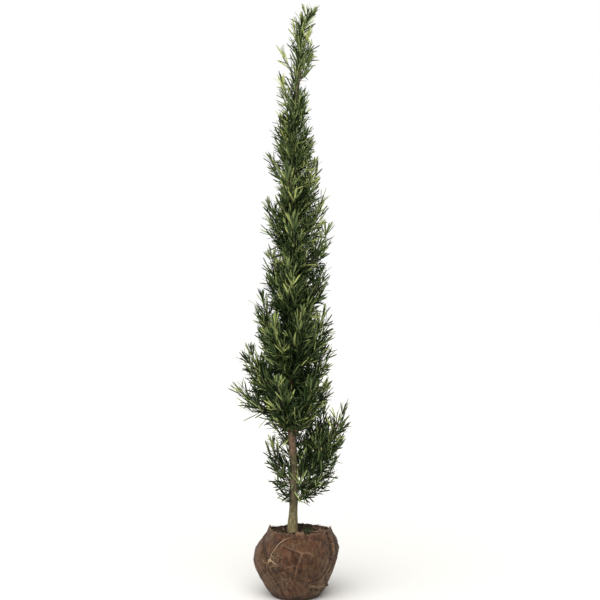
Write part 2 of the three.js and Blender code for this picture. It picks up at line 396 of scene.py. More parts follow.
def curve_heading(start, bend, end, t):
    return unit(2 * (1 - t) * (bend - start) + 2 * t * (end - bend))


def skin_of(names):
    points, faces = [], []
    for name in names:
        mesh = nodes[name].data
        first = len(points)
        points.extend(v.co.copy() for v in mesh.vertices)
        faces.extend(tuple(first + i for i in p.vertices) for p in mesh.polygons)
    return BVHTree.FromPolygons(points, faces)


def below(skin, x, y, least, start=0.3):
    """Where a skin lies under a place in plan, unless that is lower than least."""
    hit = skin.ray_cast(Vector((x, y, start)), Vector((0, 0, -1)))[0]
    return hit if hit is not None and hit.z > least else None


# ---- Trunk ----
def trunk_slices():
    """Centre and radius of the trunk at level cuts from its foot to its tip."""
    low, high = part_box("trunk")
    slices = []
    whole = bmesh.new()
    whole.from_mesh(nodes["trunk"].data)
    bmesh.ops.remove_doubles(whole, verts=whole.verts, dist=1e-5)
    for z in np.linspace(low.z + 0.001, high.z - 0.004, 70):
        cut = whole.copy()
        made = bmesh.ops.bisect_plane(
            cut, geom=cut.verts[:] + cut.edges[:] + cut.faces[:], plane_co=(0, 0, z), plane_no=(0, 0, 1)
        )
        ring = np.array([g.co for g in made["geom_cut"] if isinstance(g, bmesh.types.BMVert)])
        centre = (ring.min(0) + ring.max(0)) / 2
        slices.append((*centre, (ring[:, 1].max() - ring[:, 1].min()) / 2))
        cut.free()
    whole.free()
    return np.array(slices)


SLICES = trunk_slices()


def trunk_centre(z):
    return Vector((np.interp(z, SLICES[:, 2], SLICES[:, 0]), np.interp(z, SLICES[:, 2], SLICES[:, 1]), z))


def trunk_radius(z):
    return float(np.interp(z, SLICES[:, 2], SLICES[:, 3]))


UPRIGHT = Vector((0, 0, 1))


def ring_matrix(centre, along, radius):
    facing = UPRIGHT.rotation_difference(along).to_matrix().to_4x4()
    return Matrix.Translation(centre) @ facing @ Matrix.Scale(radius, 4)


def draw_limb(bm, line, radii, sides):
    """A limb drawn out ring by ring along a line, with its far end closed."""
    ring = bmesh.ops.create_circle(bm, cap_ends=False, segments=sides, radius=1.0)["verts"]
    edges = list(dict.fromkeys(e for v in ring for e in v.link_edges))
    before = Matrix.Identity(4)
    for i, (centre, radius) in enumerate(zip(line, radii)):
        along = line[min(i + 1, len(line) - 1)] - line[max(i - 1, 0)]
        here = ring_matrix(centre, along.normalized(), radius)
        if i:
            drawn = bmesh.ops.extrude_edge_only(bm, edges=edges)["geom"]
            ring = [g for g in drawn if isinstance(g, bmesh.types.BMVert)]
            edges = [g for g in drawn if isinstance(g, bmesh.types.BMEdge)]
        bmesh.ops.transform(bm, matrix=here @ before.inverted(), verts=ring)
        before = here
    bmesh.ops.holes_fill(bm, edges=edges, sides=0)


TRUNK_RINGS = 420
TRUNK_SIDES = 48
COLLAR_RISE = 0.012  # height over which a collar swells and fades


def make_trunk(collars):
    """The stem, with shallow fissures, flaking ridges, and a collar where each shoot leaves it."""
    low, high = SLICES[0, 2], SLICES[-1, 2]
    heights = [low - 0.004 + (high - low + 0.002) * i / (TRUNK_RINGS - 1) for i in range(TRUNK_RINGS)]
    bm = bmesh.new()
    draw_limb(bm, [trunk_centre(z) for z in heights], [trunk_radius(z) for z in heights], TRUNK_SIDES)
    for v in bm.verts:
        centre = trunk_centre(v.co.z)
        out = Vector((v.co.x - centre.x, v.co.y - centre.y, 0))
        radius = out.length
        if radius < 1e-5:
            continue
        out.normalize()
        turn = atan2(out.y, out.x)
        fissure = noise.noise(Vector((v.co.x * 330, v.co.y * 330, v.co.z * 38)))
        broad = noise.noise(Vector((v.co.x * 60, v.co.y * 60, v.co.z * 22 + 7)))
        depth = 0.06 * radius
        grow = depth * (0.9 * fissure - 0.7 * max(0.0, -fissure) + 0.9 * broad)
        for height, direction, size in collars:
            rise = (v.co.z - height) / COLLAR_RISE
            if abs(rise) < 3:
                aside = (cos(turn - direction) - 1) * 2.2
                grow += size * exp(-rise * rise + aside * 1.6)
        v.co += out * grow
    bmesh.ops.recalc_face_normals(bm, faces=bm.faces)
    trunk = finish_piece("trunk_bark", mesh_from_bmesh("trunk_bark", bm), BARK)
    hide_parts("trunk")


# ---- Growth: boughs, twigs and leaves, grown from the trunk into each mass ----
CROWN_SKIN = skin_of(LEAF_MASSES)


def room(place, heading):
    """How far a leaf can run from a place in a heading before it leaves the crown's masses."""
    here, heading, run, gap = Vector(place), Vector(heading), 0.0, 0.0
    for _ in range(8):
        hit, normal, _, distance = CROWN_SKIN.ray_cast(here, heading)
        if hit is None:
            return run
        inside = normal.dot(heading) > 0
        if inside:
            run += gap + distance
            gap = 0.0
        elif distance > GAP_BETWEEN_MASSES and run > 0:
            return run
        else:
            gap += distance
        if run > 0.2:
            return run
        here = hit + heading * 2e-5
    return run


PROBE = Vector((0.13, 0.21, 0.97))  # the way to look for the skin, along no edge of it


def spread_inside(points, skin):
    """Places spread evenly through one mass, no two nearer than the spray spacing."""
    dice = random.Random(len(points) + int(1e6 * abs(points[0][0])))
    low, high = points.min(0), points.max(0)
    kept = []
    for _ in range(int(40 * np.prod(high - low) / SPRAY_SPACING**3) + 60):
        place = np.array([dice.uniform(a, b) for a, b in zip(low, high)])
        if kept and (((np.array(kept) - place) ** 2).sum(1) < SPRAY_SPACING**2).any():
            continue
        hit, normal, _, _ = skin.ray_cast(Vector(place), PROBE)
        if hit is not None and normal.dot(PROBE) > 0:
            kept.append(place)
    return sorted(kept, key=lambda place: place[2])


class Shoot:
    """The line that one mass of leaves grows along, from the trunk to the mass's tip."""

    def __init__(self, name):
        points = np.array([v.co for v in nodes[name].data.vertices])
        top = points[points[:, 2].argmax()]
        low = points[:, 2].min()
        foot_height = min(max(low + 0.012, SLICES[0, 2] + 0.05), SLICES[-1, 2] - 0.02)
        self.foot = np.array(trunk_centre(foot_height))
        spread = points[:, :2] - self.foot[:2]
        far = points[np.argmax((spread**2).sum(1) + 0.6 * (points[:, 2] - low) ** 2)]
        self.tip = 0.5 * (top + far)
        reach = self.tip - self.foot
        self.bend = self.foot + np.array([0.6 * reach[0], 0.6 * reach[1], 0.38 * reach[2]])
        self.length = float(np.linalg.norm(reach))
        self.direction = atan2(reach[1], reach[0])
        self.middles = spread_inside(points, skin_of([name]))

    def at(self, t):
        return curve(self.foot, self.bend, self.tip, t)

    def nearest(self, place):
        """The share of the shoot's run that lies closest to a place."""
        shares = np.linspace(0, 1, 25)
        return shares[np.argmin([np.linalg.norm(self.at(t) - place) for t in shares])]

    def along(self, t):
        return curve_heading(self.foot, self.bend, self.tip, t)


def round_about(axis, angle):
    """Unit vector at right angles to axis, turned by angle round it."""
    aside = unit(np.cross(axis, (0.31, 0.17, 0.93) if abs(axis[2]) < 0.9 else (1.0, 0.1, 0.0)))
    return cos(angle) * aside + sin(angle) * np.cross(axis, aside)


def youth_and_light_at(z):
    """The share of young growth, and of painted light on the leaves: more of both towards the top."""
    return 0.05 + 0.43 * max(0.0, (z - 0.7) / 1.3) ** 1.2


def sparseness(z):
    """How much further apart the leaves stand in the young top of the crown."""
    return float(np.interp(z, (1.50, 1.80), (1.0, 1.05)))


class Foliage:
    """Collects every twig and leaf, keeping the leaves apart by green so that each can later be joined into
    its own piece.
    """

    def __init__(self, seed):
        self.dice = random.Random(seed)
        self.twigs = []
        self.leaves = [[] for _ in LEAF_GREENS_LIT_AND_SHADED]

    def leaf(self, place, axis, turn, open_angle, length, age_and_light, least=0.0):
        """Sets one leaf, if the crown has room for it or it is one of the few that stick out."""
        dice = self.dice
        out = round_about(axis, turn)
        overhang = STICKS_OUT * dice.random() ** 1.6 + STRAY_REACH * (dice.random() < STRAY_SHARE)
        for _ in range(3):
            heading = cos(open_angle) * axis + sin(open_angle) * out
            heading = unit(heading + np.array([0, 0, 0.26]))
            free = max(least, room(place, heading) + overhang)
            if free > length:
                break
            open_angle *= 0.8
        if free < length:
            if free < 0.72 * length:
                return
            length = free
        upper = unit(np.cross(np.cross(heading, axis), heading))
        roll = dice.gauss(0, 0.6)
        upper = cos(roll) * upper + sin(roll) * unit(np.cross(heading, upper))
        side = np.cross(heading, upper)
        # The green is dealt from the leaf's youth and painted light, with a wide random spread: lighter
        # greens are young growth and painted light, darker ones older growth and painted shade.
        shade = int(np.clip(round(age_and_light * 4 + dice.gauss(0, 0.95)), 0, 4))
        self.leaves[shade].append((place, side, heading, upper, length, dice.random()))

    def whorl(self, place, axis, count, open_angles, age_and_light, least=0.0):
        """The brush of leaves that ends a twig."""
        turn = self.dice.uniform(0, 6.28)
        for i in range(count):
            turn += GOLDEN_ANGLE
            size = LEAF_LENGTH * self.dice.uniform(0.78, 1.06)
            open_angle = radians(self.dice.uniform(*open_angles))
            self.leaf(place, axis, turn, open_angle, size, age_and_light, least)

    def spray(self, start, end, thick, age_and_light, least=0.0):
        """One twig with its leaves set round it in a spiral, crowded and steeper at its tip."""
        dice = self.dice
        reach = end - start
        length = float(np.linalg.norm(reach))
        bend = start + 0.55 * reach - np.array([0, 0, 0.12 * length])
        self.twigs.append((start, bend, end, thick, TWIG_END))
        turn = dice.uniform(0, 6.28)
        spacing = LEAF_SPACING * sparseness(end[2])
        first = max(0.0, 1 - LEAFY_END / length)
        count = max(2, int(length * (1 - first) / spacing))
        for i in range(count):
            t = first + (1 - first) * (i + 0.5) / count
            axis = curve_heading(start, bend, end, t)
            place = curve(start, bend, end, t)
            turn += GOLDEN_ANGLE + dice.gauss(0, 0.12)
            size = LEAF_LENGTH * dice.uniform(0.84, 1.12)
            open_angle = radians(64 - 22 * t + dice.gauss(0, 9))
            # Lighter greens towards the twig's tip, for young growth and painted light.
            self.leaf(place, axis, turn, open_angle, size, age_and_light + 0.22 * t - 0.12, least)
        count = round(6 / sparseness(end[2]))
        self.whorl(end, unit(end - bend), count, (12, 52), age_and_light + 0.12, least)

    def grow(self, shoot, vigour_and_light):
        """The shoot, and a spray to every place spread through its mass."""
        dice = self.dice
        stop = 1 - 0.040 / shoot.length
        thick = 0.0014 + 0.009 * shoot.length
        ends = shoot.at(0), shoot.at(stop)
        bend = 2 * shoot.at(stop / 2) - 0.5 * (ends[0] + ends[1])
        self.twigs.append((ends[0], bend, ends[1], thick, 0.001))
        for middle in shoot.middles:
            nearest = shoot.nearest(middle)
            away = np.linalg.norm(shoot.at(nearest) - middle)
            t = min(stop, max(BARE_FOOT, nearest - (away + 0.4 * LEAF_LENGTH) / shoot.length))
            start = shoot.at(t)
            outward = unit(middle - start)
            end = middle - 0.5 * LEAF_LENGTH * unit(outward + shoot.along(nearest))
            # Lighter greens further out along the shoot and higher up, for young growth and painted light;
            # about one spray in eight is young throughout.
            age_and_light = vigour_and_light + 0.24 * t + dice.gauss(0, 0.10) + 0.44 * (dice.random() < 0.13)
            if np.linalg.norm(end - start) > 0.006:
                self.spray(start, end, TWIG_FOOT, age_and_light)
            else:
                self.whorl(start, outward, 5, (5, 55), age_and_light)
        count = round(12 / sparseness(shoot.tip[2]))
        self.whorl(shoot.at(stop), shoot.along(stop), count, (6, 56), vigour_and_light + 0.36)

    def clothe_trunk(self):
        """Short spurs straight off the trunk, so that the stem is hidden above the skirt."""
        dice = self.dice
        turn = 0.0
        z = CROWN_FOOT
        while z < SLICES[-1, 2] - 0.01:
            turn += GOLDEN_ANGLE
            z += SPUR_SPACING
            centre = np.array(trunk_centre(z))
            axis = unit(np.array(trunk_centre(z + 0.01)) - centre)
            out = round_about(axis, turn)
            low = z < CLEAR_STEM
            if BARE_STEM[0] < z < BARE_STEM[1] and out[0] > -0.4 or low and out[1] < -0.35:
                continue
            start = centre + out * trunk_radius(z) * 0.9
            spread = radians(dice.uniform(34, 58))
            heading = unit(cos(spread) * axis + sin(spread) * out)
            length = min(0.055, room(start, heading) - 0.7 * LEAF_LENGTH)
            age_and_light = youth_and_light_at(z) + dice.gauss(0, 0.06)
            deep = abs(out[1]) > 0.72 and FULL_DEPTH[0] < z < FULL_DEPTH[1]
            if deep:
                length = max(length, dice.uniform(*DEEP_SPUR))
            if length > 0.010:
                self.spray(start, start + heading * length, 0.0015, age_and_light, LEAF_LENGTH if deep else 0.0)
            else:
                self.whorl(start, heading, 3, (5, 50), age_and_light, LEAF_LENGTH)
            if low:
                self.whorl(start, heading, 6, (5, 55), age_and_light, LEAF_LENGTH)
            elif z > DENSE_TOP:
                self.whorl(start, axis, 4, (12, 48), age_and_light, 0.7 * LEAF_LENGTH)


LEAF_STATIONS = (0, 0.10, 0.38, 0.80, 0.94, 1)
LEAF_HALF_WIDTHS = (0.14, 0.30, 0.50, 0.46, 0.28, 0)


def leaf_shape(arch):
    """One strap leaf, 1 long and 1 wide, folded a little along its midrib, arching to its point."""
    bm = bmesh.new()
    bmesh.ops.create_grid(bm, x_segments=2, y_segments=5, size=0.5)
    for v in bm.verts:
        station = round((v.co.y + 0.5) * 5)
        t = LEAF_STATIONS[station]
        edge = v.co.x * 2
        v.co = (edge * LEAF_HALF_WIDTHS[station], t, arch * t * t + 0.020 * abs(edge) * (station < 5))
    bmesh.ops.remove_doubles(bm, verts=bm.verts, dist=1e-4)
    return arrays_from_bmesh(bm)


def join_leaves(name, leaves, finish):
    shapes = [leaf_shape(arch) for arch in (-0.13, -0.05, 0.05)]
    triangles = shapes[0][1]
    place, side, heading, upper, length, chance = (np.array(part) for part in zip(*leaves))
    kind = np.minimum((chance * 3).astype(int), 2)
    local = np.stack([shapes[k][0] for k in range(3)])[kind]
    width = LEAF_WIDTH * (0.85 + 0.3 * ((chance * 97) % 1))
    points = (
        place[:, None]
        + local[..., 0:1] * (side * width[:, None])[:, None]
        + local[..., 1:2] * (heading * length[:, None])[:, None]
        + local[..., 2:3] * (upper * length[:, None])[:, None]
    )
    return finish_piece(name, mesh_from_arrays(name, points, triangles), finish, smooth=False)


def twig_shape(stations, sides):
    bm = bmesh.new()
    draw_limb(bm, [Vector((0, 0, i / (stations - 1))) for i in range(stations)], [1.0] * stations, sides)
    return arrays_from_bmesh(bm)


def join_twigs(name, twigs, finish):
    local, triangles = twig_shape(7, 5)
    start, bend, end = (np.array([t[k] for t in twigs])[:, None] for k in range(3))
    thick = np.array([t[3] for t in twigs])[:, None, None]
    thin = np.array([t[4] for t in twigs])[:, None, None]
    t = np.clip(local[None, :, 2:3], 0, 1)
    centre = curve(start, bend, end, t)
    along = curve_heading(start, bend, end, t)
    aside = unit(np.cross(along, np.broadcast_to((0.21, 0.95, 0.11), along.shape)))
    other = np.cross(along, aside)
    radius = thick + (thin - thick) * t
    points = centre + radius * (local[None, :, 0:1] * aside + local[None, :, 1:2] * other)
    return finish_piece(name, mesh_from_arrays(name, points, triangles), finish)


# ---- Root ball: sacking, twine, soil, moss and litter ----
CLOTH_COLUMNS = 400
CLOTH_RISE = 150  # rows from the foot to the rim
CLOTH_DEPTH = 16  # rows down inside the rim
CLOTH_THICKNESS = 0.0024
CLOTH_GIRTH = 328 * WEAVE_PITCH  # a whole number of threads round the ball
MEAN_RADIUS = 0.128
BALL_MIDDLE = 0.007  # how far the ball's middle lies towards +X
SACK_COLUMNS = 96  # upright lines on which the solid is read
SACK_LEVELS = np.linspace(0.001, 0.206, 42)
MOUTH_LEVEL = 0.19  # everything in the mouth lies above this
MOUTH_RADII = np.linspace(0.090, 0.118, 57)  # where the rim is looked for
FOOT_SHARES = (0.0, 0.3, 0.6, 0.85, 0.96, 0.99)  # rows of the cloth across its underside
BOTTOM_SHARES = (0.9, 0.5, 0.0)  # rows that close the cloth inside

# Lines on the cloth: how far each stands out in mm, how wide it is in mm, and how pale (or, below nothing,
# how dark with painted shade, as every such line is a groove), then the turn in degrees and the height in mm
# of each of its places.
FOLDS = [
    (-5.0, 4.0, -0.85, 186, 206, 209, 178, 218, 158, 226, 143, 236, 135),
    (-1.6, 3.0, -0.35, 249, 129, 258, 114, 266, 98),
    (2.4, 2.5, 0.26, 244, 192, 263, 180, 275, 172),
    (-1.2, 2.4, -0.4, 246, 188, 263, 175, 273, 167),
    (2.4, 3.0, 0.36, 275, 171, 274, 150, 272, 122, 269, 80),
    (1.6, 2.2, 0.34, 277, 172, 286, 172, 292, 160),
    (-1.8, 4.0, -0.3, 263, 171, 270, 150, 269, 122),
    (-4.6, 5.0, -1.1, 328, 218, 326, 194, 325, 157, 325, 136),
    (2.0, 5.0, 0.14, 334, 208, 332, 176, 331, 150),
    (0.8, 13.0, 0.16, 205, 172, 207, 130, 213, 84),
    (3.2, 4.0, 0.3, 335, 205, 333, 165, 331, 130, 322, 95, 312, 60),
    (2.2, 2.6, 0.5, 319, 140, 315, 108, 311, 74),
    (1.8, 2.2, 0.4, 323, 130, 319, 100, 315, 70),
    (-2.4, 3.6, -0.4, 345, 196, 346, 160, 341, 125, 328, 84),
    (2.2, 3.6, 0.22, 355, 186, 356, 150, 350, 112, 339, 74),
    (5.5, 5.0, 0.3, 296, 56, 313, 49, 331, 40),
    (-5.0, 3.8, -0.95, 298, 44, 315, 35, 333, 26),
    (1.5, 2.2, 0.3, 251, 84, 248, 50, 246, 12),
    (1.5, 2.2, 0.26, 257, 86, 255, 50, 253, 14),
    (-2.4, 4.2, -0.45, 228, 112, 236, 84, 243, 52, 246, 20),
    (1.8, 3.2, 0.2, 212, 120, 217, 92, 226, 60),
    (3.0, 4.4, 0.3, 22, 206, 30, 160, 36, 110, 33, 55),
    (-3.0, 4.0, -0.5, 32, 200, 41, 150, 46, 100),
    (2.6, 4.6, 0.25, 60, 196, 66, 150, 63, 92, 70, 40),
    (-3.4, 4.2, -0.6, 96, 204, 90, 160, 97, 116, 94, 64),
    (2.8, 3.8, 0.35, 104, 198, 101, 150, 107, 100),
    (2.4, 4.4, 0.25, 126, 188, 132, 146, 129, 98, 134, 50),
    (-2.8, 4.0, -0.5, 152, 202, 147, 158, 153, 110, 150, 60),
    (2.4, 3.8, 0.3, 166, 176, 163, 132, 168, 84),
    (4.5, 4.5, 0.25, 84, 36, 100, 30, 118, 38),
    (-4.0, 3.4, -0.85, 86, 24, 102, 18, 118, 26),
]
LOBE = [(199, 150), (201, 92)]  # a broad swelling at the left
TUCK = [(333, 44), (341, 40)]  # a knob of gathered cloth low on the right
TAB = (261, 279)  # the turned-up tab at the front of the rim, in degrees
CROSSING = (231, 141.5)  # where the knot sits

# Turns and heights of the twine, as in the solids: two loops crossing at the front left.
TWINE_LINES = [
    [(270, 219), (249, 213), (236, 195), (231, 166), (230, 143), (222, 108), (205, 74), (175, 56), (135, 62),
     (90, 96), (45, 138), (10, 166), (340, 186), (310, 203), (290, 214)],
    [(190, 198), (209, 176), (218, 157), (226, 142), (237, 134), (249, 128), (260, 112), (270, 88), (286, 68),
     (301, 67), (314, 86), (326, 120), (338, 154), (356, 178), (30, 166), (75, 140), (125, 146), (168, 186)],
]
TWINE_OFFSET = 0.0007  # each ply's middle from the twine's own
PLY_RADIUS = 0.0008
PLY_TURN = 0.0095  # length in which a ply goes once round
KNOT_RADIUS = 0.0042
TAILS = ((0.95, -0.14, 0.024), (-0.5, -0.5, 0.011))  # how far each runs aside and down, and its length
BRIGHT_TWINE = radians(237)
BRIGHT_SPREADS = (radians(15), radians(7), 1.0, 1.0, 1.0)  # for each length of twine


def spun_grid(name, rows, columns):
    """A closed drum, spun from one upright line, with the row and column of each of its points."""
    bm = bmesh.new()
    line = [bm.verts.new((0 if row in (0, rows - 1) else 1, 0, row / rows)) for row in range(rows)]
    edges = [bm.edges.new(pair) for pair in zip(line, line[1:])]
    bmesh.ops.spin(bm, geom=line + edges, axis=(0, 0, 1), angle=2 * pi, steps=columns, use_merge=True)
    bmesh.ops.remove_doubles(bm, verts=bm.verts, dist=1e-5)
    bmesh.ops.recalc_face_normals(bm, faces=bm.faces)
    mesh = mesh_from_bmesh(name, bm)
    points = read(mesh.vertices, "co", 3, np.float32).reshape(-1, 3)
    row = np.rint(points[:, 2] * rows).astype(int)
    column = np.rint(np.arctan2(points[:, 1], points[:, 0]) / (2 * pi) * columns).astype(int) % columns
    return mesh, row, column


def read(parts, field, each=1, kind=np.int32):
    values = np.zeros(each * len(parts), kind)
    parts.foreach_get(field, values)
    return values


def set_points(mesh, points):
    mesh.vertices.foreach_set("co", points.reshape(-1).astype(np.float32))
    mesh.update()


def set_wear_and_shade(mesh, values):
    mesh.attributes.new("wear_and_shade", "FLOAT", "POINT").data.foreach_set("value", values.astype(np.float32))


def turns_round(count):
    return np.arange(count) * 2 * pi / count


def past(turn, start):
    """How far turns lie past another, the short way round."""
    return (turn - start + pi) % (2 * pi) - pi


def bell(values):
    return np.exp(-(values**2))


def smoothstep(low, high, values):
    t = np.clip((values - low) / (high - low), 0, 1)
    return t * t * (3 - 2 * t)


def round_smooth(values, times):
    """Evens out a row of values that runs once round the ball."""
    for _ in range(times):
        values = (np.roll(values, 1, -1) + 2 * values + np.roll(values, -1, -1)) / 4
    return values


def rough(points, scale):
    """Soft unevenness between about -1 and 1, the same every run."""
    heights = [noise.noise(Vector(p)) for p in points.reshape(-1, 3) * scale]
    return np.array(heights).reshape(points.shape[:-1])


def on_tab(turn, ease):
    """1 across the rim's turned-up tab, easing off to 0 over so many degrees at each side."""
    degrees = np.degrees(turn)
    return smoothstep(TAB[0], TAB[0] + ease, degrees) * (1 - smoothstep(TAB[1] - ease, TAB[1], degrees))


class Sack:
    """The wrapped ball's outside, read from the solids and evened out."""

    def __init__(self):
        skin = skin_of(["root_ball_sacking"])
        self.turns = turns_round(SACK_COLUMNS)
        ends = [[self.reach(skin, BALL_MIDDLE, turn, z) for turn in (0.0, pi)] for z in SACK_LEVELS]
        self.middle = BALL_MIDDLE + np.array([right - left for right, left in ends]) / 2
        reaches = [
            [self.reach(skin, x, turn, z) for turn in self.turns] for x, z in zip(self.middle, SACK_LEVELS)
        ]
        self.radius = round_smooth(np.array(reaches), 6)
        top = []
        for turn in self.turns:
            hits = []
            for radius in MOUTH_RADII:
                x, y = self.middle[-1] + radius * cos(turn), radius * sin(turn)
                hit = below(skin, x, y, MOUTH_LEVEL, 0.4)
                hits.append(hit.z if hit else 0.0)
            top.append(max(hits))
        self.rim = round_smooth(np.array(top), 2)

    def reach(self, skin, x, turn, z):
        out = Vector((cos(turn), sin(turn), 0))
        hit = skin.ray_cast(Vector((x, 0, z)) + 0.3 * out, -out)[0]
        return (hit - Vector((x, 0, z))).dot(out)

    def around(self, values, turn):
        return np.interp(turn % (2 * pi), [*self.turns, 2 * pi], [*values, values[0]])

    def at(self, turn, height, out=0.0):
        """A place on the sacking, or out from it, for whole arrays of turns and heights."""
        place = (height - SACK_LEVELS[0]) / (SACK_LEVELS[1] - SACK_LEVELS[0])
        place = np.clip(place, 0, len(SACK_LEVELS) - 1.001)
        low = place.astype(int)
        share = place - low
        column = (turn % (2 * pi)) / (2 * pi) * SACK_COLUMNS
        left = column.astype(int) % SACK_COLUMNS
        right = (left + 1) % SACK_COLUMNS
        across = column - column.astype(int)
        under, over = (
            (1 - across) * level[low, left] + across * level[low, right]
            for level in (self.radius, self.radius[1:])
        )
        above = np.maximum(height - SACK_LEVELS[-1], 0)
        radius = (1 - share) * under + share * over - 0.50 * above + out
        middle = np.interp(height, SACK_LEVELS, self.middle)
        return np.stack([middle + radius * np.cos(turn), radius * np.sin(turn), height], -1)

    def away(self, turn, height, line):
        """How far places on the cloth lie from a line on it."""
        least = np.full(turn.shape, 1.0)
        for (a0, z0), (a1, z1) in zip(line, line[1:]):
            start = radians(a0)
            x = past(turn, start) * MEAN_RADIUS
            y = height - z0 / 1000
            dx, dy = past(radians(a1), start) * MEAN_RADIUS, (z1 - z0) / 1000
            t = np.clip((x * dx + y * dy) / (dx * dx + dy * dy), 0, 1)
            least = np.minimum(least, np.hypot(x - t * dx, y - t * dy))
        return least

    def press(self, turn, height):
        """The broad lie of the cloth: lobes and folds, how worn each place is, and painted shade in its
        grooves, along the twine and over the tuck; it is also darker towards the foot.
        """
        out = np.zeros(turn.shape)
        wear_and_shade = np.zeros(turn.shape)
        # Each fold is paler along a ridge; a negative tone paints shade along a groove.
        for rise, width, tone, *places in FOLDS:
            line = list(zip(places[::2], places[1::2]))
            strength = bell(self.away(turn, height, line) / width * 1000)
            out += rise / 1000 * strength
            wear_and_shade += tone * strength
        # Painted shade in the groove that each loop of twine presses into the cloth.
        for line in TWINE_LINES:
            strength = bell(self.away(turn, height, line + line[:1]) / 0.0042)
            out -= 0.0016 * strength
            wear_and_shade -= 0.22 * strength
        out += 0.0055 * bell(self.away(turn, height, LOBE) / 0.030)
        # The tuck stands out, painted dark with shade over it and round it.
        tuck = self.away(turn, height, TUCK)
        out += 0.0085 * bell(tuck / 0.006)
        wear_and_shade -= 0.85 * bell(tuck / 0.009)
        hem = on_tab(turn, 2) * smoothstep(0.2135, 0.2150, height)
        out += 0.0030 * hem
        wear_and_shade += 0.30 * hem
        # Darker towards the foot.
        wear_and_shade -= 0.30 * (1 - smoothstep(0.0, 0.030, height))
        return out, wear_and_shade


def make_sacking(sack):
    """The cloth from the middle of its underside, up over the rim and down inside below the soil."""
    outer = np.linspace(0, 1, CLOTH_RISE) ** 0.96
    foot_rows = len(FOOT_SHARES)
    rim_row = foot_rows + CLOTH_RISE
    rows = rim_row + 2 + CLOTH_DEPTH + len(BOTTOM_SHARES)
    mesh, row, column = spun_grid("sacking_cloth", rows, CLOTH_COLUMNS)
    turn = turns_round(CLOTH_COLUMNS)
    ring = np.stack([np.cos(turn), np.sin(turn), np.zeros(CLOTH_COLUMNS)], -1)
    fray = 0.0022 * rough(ring, 17.0) + 0.0020 * rough(ring, 60.0)
    rim = sack.around(sack.rim, turn) + fray + 0.0075 * on_tab(turn, 2.5)
    turns = np.broadcast_to(turn, (CLOTH_RISE, CLOTH_COLUMNS))
    heights = np.maximum(outer[:, None] * rim[None], 0.0012)
    out, wear_and_shade = sack.press(turns, heights)
    smooth_place = sack.at(turns, heights)
    upright = rough(smooth_place * (1, 1, 0.22), 34.0)
    swirl = turns + 5.0 * heights
    slant = rough(np.stack([0.13 * np.cos(swirl), 0.13 * np.sin(swirl), 0.3 * heights], -1), 52.0)
    clods = rough(smooth_place, 26.0)
    crumple = rough(smooth_place, 120.0)
    gather = np.maximum(smoothstep(0.150, 0.205, heights), 1 - smoothstep(0.02, 0.07, heights))
    ridges = (1 - 2 * np.abs(upright)) * (0.55 + 0.45 * gather)
    creases = 1 - 2.4 * np.abs(slant)
    out = out + 0.0013 * ridges + 0.0011 * creases + 0.0016 * clods + 0.0004 * crumple
    # Paler on ridges and on the tops of creases, with painted shade in the cloth's hollows.
    wear_and_shade = wear_and_shade + 0.16 * np.clip(ridges, 0, 1) ** 3 - 0.20 * np.clip(-crumple - clods, 0, 1)
    wear_and_shade = wear_and_shade + 0.12 * np.clip(creases, 0, 1) ** 3
    loose = smoothstep(0.030, 0.0, rim[None] - heights)
    out = out + loose * (0.0022 * rough(ring, 9.0) + 0.0014 * rough(ring, 31.0))[None]
    out = out * smoothstep(0.0, 0.016, heights)
    skin = sack.at(turns, heights, out)
    grid = np.zeros((rows, CLOTH_COLUMNS, 3))
    foot = skin[0] * (1, 1, 0)
    for k, share in enumerate(FOOT_SHARES):
        grid[k] = foot * share
    grid[foot_rows:rim_row] = skin
    inward = -ring * CLOTH_THICKNESS
    grid[rim_row] = skin[-1] + 0.35 * inward + (0, 0, 0.0008)
    grid[rim_row + 1] = skin[-1] + 0.75 * inward + (0, 0, 0.0006)
    soil_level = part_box("root_ball_soil")[1].z
    for k, share in enumerate(np.linspace(0.0, 1.0, CLOTH_DEPTH)):
        height = rim + (soil_level - 0.034 - rim) * share
        fading = 1 - np.clip((rim - height) / 0.05, 0, 1)
        grid[rim_row + 2 + k] = sack.at(turn, height, out[-1] * fading - CLOTH_THICKNESS)
    below = grid[rim_row + 1 + CLOTH_DEPTH]
    for k, share in enumerate(BOTTOM_SHARES, rim_row + 2 + CLOTH_DEPTH):
        grid[k] = below * (share, share, 1)
    level = grid[rows - 1][:, 2].mean()
    grid[rows - 1] = (0, 0, level)
    set_points(mesh, grid[row, column])
    tones = np.zeros((rows, CLOTH_COLUMNS))
    tones[foot_rows:rim_row] = wear_and_shade
    tones[rim_row:rim_row + 2] = wear_and_shade[-1] + 0.10
    tones[rim_row + 2:] = -0.25
    set_wear_and_shade(mesh, tones[row, column])
    steps = np.linalg.norm(np.diff(grid, axis=0), axis=-1).mean(1)
    lengthwise = np.concatenate([[0], np.cumsum(steps)])
    lay_cloth_threads(mesh, row, column, lengthwise)
    piece = finish_piece("sacking_cloth", mesh, SACKING)
    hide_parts("root_ball_sacking")
    return rim


def lay_cloth_threads(mesh, row, column, lengthwise):
    """Gives the cloth its own measure in metres, along its threads and across them."""
    loops = read(mesh.loops, "vertex_index")
    starts, totals = (read(mesh.polygons, field) for field in ("loop_start", "loop_total"))
    owner = np.repeat(np.arange(len(starts)), totals)
    across = column[loops].astype(float)
    highest = np.maximum.reduceat(across, starts)[owner]
    across[(highest - across) > CLOTH_COLUMNS / 2] += CLOTH_COLUMNS
    uv = np.stack([across / CLOTH_COLUMNS * CLOTH_GIRTH, lengthwise[row[loops]]], -1)
    mesh.uv_layers.new(name="cloth").data.foreach_set("uv", uv.reshape(-1).astype(np.float32))


